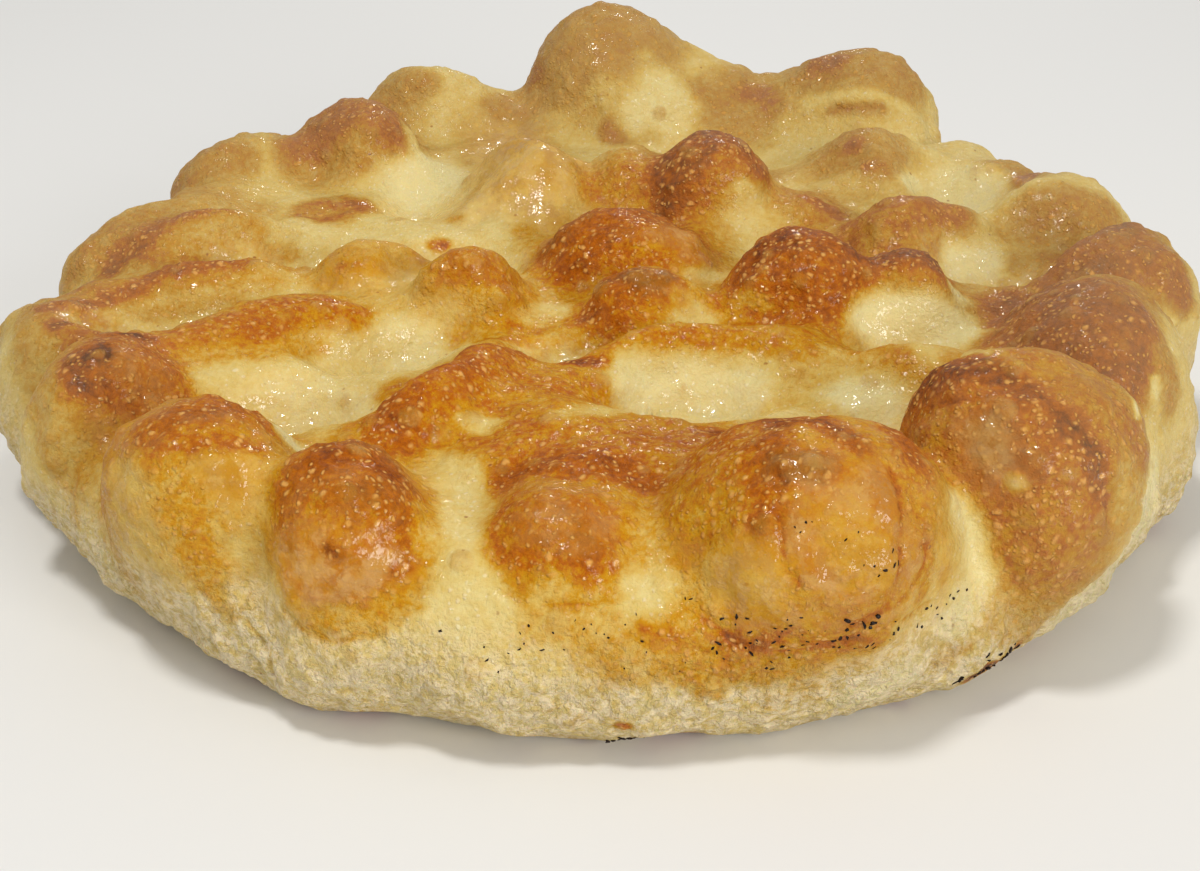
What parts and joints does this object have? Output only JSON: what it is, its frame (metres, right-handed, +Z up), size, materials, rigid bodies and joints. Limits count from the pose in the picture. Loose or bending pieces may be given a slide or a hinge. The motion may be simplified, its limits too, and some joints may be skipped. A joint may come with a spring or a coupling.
{
  "type": "focaccia base",
  "caption": "Plain round focaccia base: a puffed, hand-pressed disc of baked dough with browned bubbles, pale finger dimples and a flat underside.",
  "frame": {"origin": "middle of the flat underside, where the bread lies on a surface", "axes": "+Z up out of the crust, +X to the right and +Y away from the side with the biggest bubbles"},
  "size_m": [0.2424, 0.2482, 0.0623],
  "materials": {
    "crust": "baked wheat crust: cream dimples, golden to brown bubbles, an oily satin sheen"
  },
  "bodies": {
    "root": {"focaccia": "crust"}
  },
  "joints": []
}
